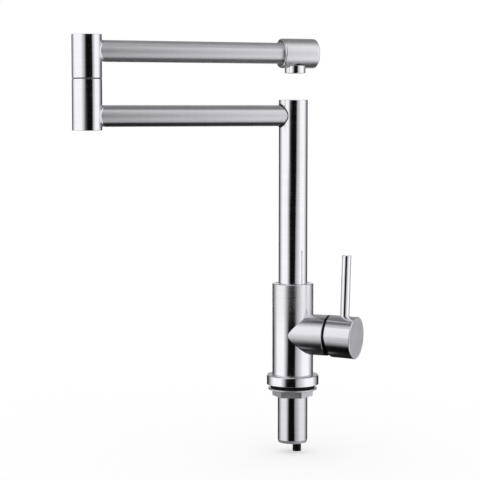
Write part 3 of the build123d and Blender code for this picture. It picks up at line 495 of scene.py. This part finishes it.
def paint_shade(tree, shader, mask, shade):
    """Paints shade into a finish's colour where the mask is 1."""
    plain = shader.inputs["Base Color"].links[0].from_socket
    mix = node(tree, "ShaderNodeMix", data_type="RGBA", blend_type="MULTIPLY")
    link(tree, mask, mix.inputs["Factor"])
    link(tree, plain, mix.inputs["A"])
    mix.inputs["B"].default_value = (shade, shade, shade, 1)
    link(tree, mix.outputs["Result"], shader.inputs["Base Color"])


def roughened(tree, shader, mask, more):
    """Adds to a finish's roughness where the mask is 1."""
    plain = shader.inputs["Roughness"].links[0].from_socket
    link(tree, math(tree, "MULTIPLY_ADD", mask, more, plain), shader.inputs["Roughness"])


def bumped(tree, height, strength, distance):
    bump = node(tree, "ShaderNodeBump", {"Strength": strength, "Distance": distance})
    link(tree, height, bump.inputs["Height"])
    return bump.outputs["Normal"]


def seated(tree, place, turn):
    """Object coordinates whose Z runs along a piece's own axis."""
    seat = node(tree, "ShaderNodeMapping", {"Location": place, "Rotation": turn}, vector_type="TEXTURE")
    link(tree, node(tree, "ShaderNodeTexCoord").outputs["Object"], seat.inputs["Vector"])
    return seat.outputs["Vector"]


def finish_metal(tree, shader, vector, colour, roughness, grain=0.03, marks=0.05, lines=2600.0, relief=0.12):
    """Turned or brushed metal: grain round the vector's Z, smudges and hairlines in the roughness."""
    shader.inputs["Metallic"].default_value = 1.0
    turning = placed_group(tree, GRAIN, vector, {"Lines": lines})
    wear = placed_group(tree, MARKS, vector, {})
    link(tree, tinted(tree, turning["Grain"], colour, GRAIN_SHADE), shader.inputs["Base Color"])
    rough = math(tree, "MULTIPLY_ADD", turning["Grain"], 2 * grain, math(tree, "SUBTRACT", roughness, grain))
    rough = math(tree, "MULTIPLY_ADD", wear["Smudge"], marks, rough)
    link(tree, math(tree, "MULTIPLY_ADD", wear["Scratch"], marks, rough), shader.inputs["Roughness"])
    link(tree, bumped(tree, turning["Height"], relief, GRAIN_DEPTH), shader.inputs["Normal"])


def near_face(tree, value, face):
    """0 under a flat face and 1 on it, by a value that runs up to the face."""
    start, full = FACE_EDGE
    return span(tree, value, face + start, face + full)


def metal(name, colour, roughness, turn=(0, 0, 0), **looks):
    material, tree, shader = new_material(name)
    finish_metal(tree, shader, seated(tree, (0, 0, 0), turn), colour, roughness, **looks)
    return material


def body_metal(
    name, roughness, barrel_painted_shade, underside_painted_shade, shoulder_painted_shade, barrel_softness, top_softness,
):
    """The body's grain runs round the shank's axis; the barrel's, outside the body, runs round its own.

    The barrel, and the body towards its top, are more softly brushed. Painted shade takes the barrel's
    colour down a little, and further along its shoulder and on its underside.
    """
    material, tree, shader = new_material(name)
    upright = seated(tree, (0, 0, 0), (0, 0, 0))
    level = seated(tree, (0, 0, BARREL_Z), ALONG_X)
    distance = vector_math(tree, "LENGTH", vector_math(tree, "MULTIPLY", upright, (1, 1, 0)))
    on_barrel = math(tree, "GREATER_THAN", distance, BARREL_STARTS)
    vector = blend(tree, on_barrel, upright, level)
    finish_metal(tree, shader, vector, STEEL, roughness, grain=0.02, relief=SMOOTH_RELIEF)
    # painted shade: the barrel's colour is taken down a little below the body's
    paint_shade(tree, shader, on_barrel, barrel_painted_shade)
    height = parts_of(tree, upright)["Z"]
    # painted shade on the barrel's underside, darker downwards
    low, high = BARREL_UNDERSIDE
    below = span(tree, height, BARREL_Z + low, BARREL_Z + high, 1.0, 0.0)
    paint_shade(tree, shader, math(tree, "MULTIPLY", on_barrel, below), underside_painted_shade)
    # painted shade in a band along the barrel's shoulder
    low, high = BARREL_SHOULDER
    above = band(tree, height, BARREL_Z + low, BARREL_Z + high, BARREL_SHOULDER_EDGE)
    paint_shade(tree, shader, math(tree, "MULTIPLY", on_barrel, above), shoulder_painted_shade)
    roughened(tree, shader, on_barrel, barrel_softness)
    off_barrel = math(tree, "SUBTRACT", 1.0, on_barrel)
    at_top = span(tree, height, *BODY_SOFTENS)
    roughened(tree, shader, math(tree, "MULTIPLY", off_barrel, at_top), top_softness)
    return material


def shank_metal(name, roughness, end_softness):
    """The shank's smooth turned wall, matte round its cut end."""
    material, tree, shader = new_material(name)
    vector = seated(tree, (0, 0, 0), (0, 0, 0))
    finish_metal(tree, shader, vector, SHANK_STEEL, roughness, **SMOOTH)
    height = parts_of(tree, vector)["Z"]
    at_end = span(tree, height, SHANK_TIP_Z - SHANK_END_EDGE, SHANK_TIP_Z, 1.0, 0.0)
    roughened(tree, shader, at_end, end_softness)
    return material


def ring_metal(name, roughness, top_painted_shade, top_softness):
    """The base ring's smooth turned rim, its flat top more matte and darkened by painted shade."""
    material, tree, shader = new_material(name)
    vector = seated(tree, (0, 0, 0), (0, 0, 0))
    finish_metal(tree, shader, vector, STEEL, roughness, **SMOOTH)
    on_top = near_face(tree, parts_of(tree, vector)["Z"], RING_TOP_Z)
    # painted shade: the flat top's colour is taken down
    paint_shade(tree, shader, on_top, top_painted_shade)
    roughened(tree, shader, on_top, top_softness)
    return material


def arm_metal(name, axis_z, roughness, shoulder, shoulder_painted_shade, underside_painted_shade):
    """An arm, brushed round its axis, with lines of painted shade on its shoulder and its underside."""
    material, tree, shader = new_material(name)
    vector = seated(tree, (0, 0, axis_z), ALONG_ARM)
    finish_metal(tree, shader, vector, STEEL, roughness)
    down = parts_of(tree, vector)["X"]
    # painted shade in a line along the shoulder and one along the underside
    top, bottom = -shoulder - ARM_SHOULDER_HALF, -shoulder + ARM_SHOULDER_HALF
    paint_shade(tree, shader, band(tree, down, top, bottom, ARM_SHOULDER_EDGE), shoulder_painted_shade)
    paint_shade(tree, shader, band(tree, down, *ARM_UNDERSIDE, ARM_UNDERSIDE_EDGE), underside_painted_shade)
    return material


def head_metal(name, roughness, edge_polish):
    """The head is brushed like the arms, with a polished back edge."""
    material, tree, shader = new_material(name)
    vector = seated(tree, (0, 0, 0), ALONG_ARM)
    finish_metal(tree, shader, vector, STEEL, roughness)
    from_edge = math(tree, "SUBTRACT", parts_of(tree, vector)["Z"], HEAD_BACK - HEAD_EDGE)
    roughened(tree, shader, span(tree, from_edge, 0.0, HEAD_EDGE_FADE), -edge_polish)
    return material


def cap_metal(name, roughness, face_roughness, rim_painted_shade):
    """The cap is brushed round its axis, with painted shade at its rim, and its flat end is a softer matte.
    """
    material, tree, shader = new_material(name)
    vector = seated(tree, (PIVOT_X, 0, BARREL_Z), (0, pi / 2 + CAP_TIP, 0))
    finish_metal(tree, shader, vector, CAP_STEEL, roughness)
    place = parts_of(tree, vector)
    below = math(tree, "MAXIMUM", math(tree, "ADD", place["X"], CAP_CUT_ABOVE), 0.0)
    rim = math(tree, "MULTIPLY_ADD", below, CAP_CUT_SLOPE, CAP_RIM)
    from_rim = math(tree, "SUBTRACT", place["Z"], rim)
    # painted shade at the rim, for the shade in the gap by the barrel
    paint_shade(tree, shader, span(tree, from_rim, *CAP_RIM_DARK, 1.0, 0.0), rim_painted_shade)
    on_face = near_face(tree, place["Z"], CAP_FACE)
    roughened(tree, shader, on_face, face_roughness - roughness)
    return material


def moulded(name, colour, roughness, darker=0.7, size=1500.0, depth=0.03 * MM, shine=0.5):
    material, tree, shader = new_material(name)
    shader.inputs["Specular IOR Level"].default_value = shine
    skin = placed_group(tree, SKIN, node(tree, "ShaderNodeTexCoord").outputs["Object"], {"Size": size})
    link(tree, tinted(tree, skin["Tone"], colour, darker), shader.inputs["Base Color"])
    rough = span(tree, skin["Tone"], *NOISE_SPAN, roughness - SKIN_ROUGHNESS, roughness + SKIN_ROUGHNESS)
    link(tree, rough, shader.inputs["Roughness"])
    link(tree, bumped(tree, skin["Height"], SKIN_RELIEF, depth), shader.inputs["Normal"])
    return material


SLOT_FINISHES = {
    "brushed_tube": metal("satin_steel_upright", STEEL, 0.1, **SMOOTH),
    "brushed_body": metal("satin_steel_foot", STEEL, 0.1, **SMOOTH),
    "clamp_steel": metal("clamp_steel", (0.815, 0.81, 0.845), 0.42, grain=0.05, marks=0.1, lines=1400.0),
    "inner_steel": metal("turned_steel", (0.7, 0.7, 0.71), 0.26, grain=0.05, lines=1800.0),
    "cartridge_brass": metal(
        "turned_brass", (0.83, 0.62, 0.3), 0.28, turn=ALONG_X, grain=0.05, lines=1800.0,
    ),
    "black_rubber": moulded("black_rubber", (0.01, 0.01, 0.011), 0.6, shine=0.15),
    "black_plastic": moulded("black_plastic", (0.006, 0.006, 0.007), 0.42, shine=0.12),
    "cartridge_plastic": moulded("cartridge_plastic", (0.8, 0.8, 0.77), 0.42, darker=0.93),
    "disc_ceramic": moulded(
        "disc_ceramic", (0.88, 0.87, 0.83), 0.16, darker=0.96, size=4000.0, depth=0.005 * MM,
    ),
    "aerator_plastic": moulded("aerator_plastic", (0.5, 0.51, 0.53), 0.4, darker=0.85),
}
# Each shade below is painted shade: the share of the colour kept under its mask.
NODE_FINISHES = {
    "valve_body": body_metal(
        "satin_steel_body", 0.1,
        barrel_painted_shade=0.92, underside_painted_shade=0.12, shoulder_painted_shade=0.45,
        barrel_softness=0.12, top_softness=0.18,
    ),
    "handle_cap": cap_metal("satin_steel_cap", 0.15, face_roughness=0.55, rim_painted_shade=0.06),
    "shank": shank_metal("shank_steel", 0.11, end_softness=0.45),
    "base_ring": ring_metal("satin_steel_ring", 0.1, top_painted_shade=0.8, top_softness=0.3),
    "lower_arm_tube": arm_metal(
        "satin_steel_lower_arm", LOWER_ARM_Z, 0.42,
        shoulder=7.8 * MM, shoulder_painted_shade=0.5, underside_painted_shade=0.18,
    ),
    "upper_arm_tube": arm_metal(
        "satin_steel_upper_arm", UPPER_ARM_Z, 0.42,
        shoulder=5.7 * MM, shoulder_painted_shade=0.75, underside_painted_shade=0.42,
    ),
    "outlet_head": head_metal("satin_steel_head", 0.37, edge_polish=0.2),
}


def finish_nodes():
    for subpart in frame["record"]["subparts"]:
        name = subpart["node"]
        part = frame["nodes"][name]
        part.data.materials.clear()
        part.data.materials.append(NODE_FINISHES.get(name, SLOT_FINISHES[subpart["material_slot"]]))


# ---- fillets where a tube runs into a barrel ----
ELBOW_FILLET = 2.2 * MM
RISER_FILLET = 2.4 * MM
AROUND = 96          # steps round the tube
ARC_STEPS = 8        # steps across a fillet
SINK = 0.04 * MM     # how deep a fillet's edges lie in the metal
ROOT_DEPTH = 4 * SINK
MERGE = 0.001 * MM   # corners closer than this are one
FILLET_INPUTS = (
    ("Tube Radius", "NodeSocketFloat"),
    ("Barrel Radius", "NodeSocketFloat"),
    ("Fillet Radius", "NodeSocketFloat"),
    ("Place", "NodeSocketVector"),
    ("Heading", "NodeSocketVector"),
    ("Finish", "NodeSocketMaterial"),
)


def saddle_curve(tree, turn, tube, barrel):
    """The curve where a tube round X meets an upright barrel, at a turn round the tube."""
    across = math(tree, "MULTIPLY", tube, math(tree, "COSINE", turn))
    up = math(tree, "MULTIPLY", tube, math(tree, "SINE", turn))
    square = math(tree, "MULTIPLY", barrel, barrel)
    out = math(tree, "SQRT", math(tree, "SUBTRACT", square, math(tree, "MULTIPLY", across, across)))
    return combined(tree, out, across, up)


def make_fillet_tree():
    """A fillet as a ball rolled along the joint leaves it: a strip round the tube, closed at its root.

    The strip's rows follow the ball from the barrel to the tube. Then come the root, inside the metal,
    and the first row once more, which the merge closes.
    """
    tree = bpy.data.node_groups.new("saddle_fillet", "GeometryNodeTree")
    for key, kind in FILLET_INPUTS:
        tree.interface.new_socket(key, in_out="INPUT", socket_type=kind)
    tree.interface.new_socket("Geometry", in_out="OUTPUT", socket_type="NodeSocketGeometry")
    given = node(tree, "NodeGroupInput").outputs
    rows = ARC_STEPS + 2
    counts = {"Size X": 1.0, "Size Y": 1.0, "Vertices X": AROUND + 1, "Vertices Y": rows + 1}
    strip = node(tree, "GeometryNodeMeshGrid", counts).outputs["Mesh"]
    flat = parts_of(tree, node(tree, "GeometryNodeInputPosition").outputs["Position"])
    turn = math(tree, "MULTIPLY_ADD", flat["X"], 2 * pi, pi)
    step = math(tree, "MULTIPLY_ADD", flat["Y"], rows, rows / 2)
    before_root = math(tree, "LESS_THAN", step, rows - 0.5)
    share = math(tree, "MINIMUM", math(tree, "DIVIDE", step, ARC_STEPS), 1.0)
    at_root = math(tree, "COMPARE", step, rows - 1, 0.4)
    ball = given["Fillet Radius"]
    radii = [given["Tube Radius"], given["Barrel Radius"]]
    beyond = math(tree, "SUBTRACT", ball, SINK)
    centre = saddle_curve(tree, turn, *[math(tree, "ADD", radius, beyond) for radius in radii])
    root = saddle_curve(tree, turn, *[math(tree, "SUBTRACT", radius, ROOT_DEPTH) for radius in radii])
    to_barrel = vector_math(tree, "NORMALIZE", vector_math(tree, "MULTIPLY", centre, (-1, -1, 0)))
    to_tube = vector_math(tree, "NORMALIZE", vector_math(tree, "MULTIPLY", centre, (0, -1, -1)))
    bend = math(tree, "MULTIPLY", before_root, share)
    aim = vector_math(tree, "NORMALIZE", blend(tree, bend, to_barrel, to_tube))
    out = vector_math(tree, "MULTIPLY", aim, combined(tree, ball, ball, ball))
    on_ball = vector_math(tree, "ADD", centre, out)
    mesh = strip
    for kind, values in (
        ("GeometryNodeSetPosition", {"Position": blend(tree, at_root, on_ball, root)}),
        ("GeometryNodeMergeByDistance", {"Distance": MERGE}),
        ("GeometryNodeTransform", {"Translation": given["Place"], "Rotation": given["Heading"]}),
        ("GeometryNodeSetShadeSmooth", {}),
        ("GeometryNodeRealizeInstances", {}),
        ("GeometryNodeSetMaterial", {"Material": given["Finish"]}),
    ):
        made = node(tree, kind)
        link(tree, mesh, made.inputs[0])
        for key, value in values.items():
            give(tree, made.inputs[key], value)
        mesh = made.outputs[0]
    link(tree, mesh, node(tree, "NodeGroupOutput").inputs["Geometry"])
    return tree


def baked(name, tree, values):
    """The plain mesh object that a geometry tree makes from its named inputs."""
    maker = new_object(name + "_maker", bpy.data.meshes.new(name + "_maker"))
    modifier = maker.modifiers.new("make", "NODES")
    modifier.node_group = tree
    for item in tree.interface.items_tree:
        if item.in_out == "INPUT":
            modifier[item.identifier] = values[item.name]
    finished = maker.evaluated_get(bpy.context.evaluated_depsgraph_get())
    mesh = bpy.data.meshes.new_from_object(finished)
    bpy.data.objects.remove(maker)
    mesh.name = name
    return new_object(name, mesh)


def make_fillets():
    tree = make_fillet_tree()
    bright = SLOT_FINISHES["brushed_tube"]
    # painted shade: the riser's fillet is near black, for the shade in the joint's groove
    dark = metal("painted_shade_joint", (0.12, 0.119, 0.126), 0.4)
    elbow = (LOWER_REACH * cos(ARM_HEADING), LOWER_REACH * sin(ARM_HEADING))
    for name, body, place, height, heading, radius, finish in (
        ("lower_elbow_fillet", "riser", elbow, LOWER_ARM_Z, ARM_HEADING + pi, ELBOW_FILLET, bright),
        ("upper_elbow_fillet", "upper_arm", elbow, UPPER_ARM_Z, ARM_HEADING + pi, ELBOW_FILLET, bright),
        ("riser_fillet", "riser", (0.0, 0.0), LOWER_ARM_Z, ARM_HEADING, RISER_FILLET, dark),
    ):
        fillet = baked(name, tree, {
            "Tube Radius": ARM_R,
            "Barrel Radius": TUBE_R,
            "Fillet Radius": radius,
            "Place": (*place, height),
            "Heading": (0.0, 0.0, heading),
            "Finish": finish,
        })
        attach(fillet, body)


finish_nodes()
make_fillets()
make_studio()
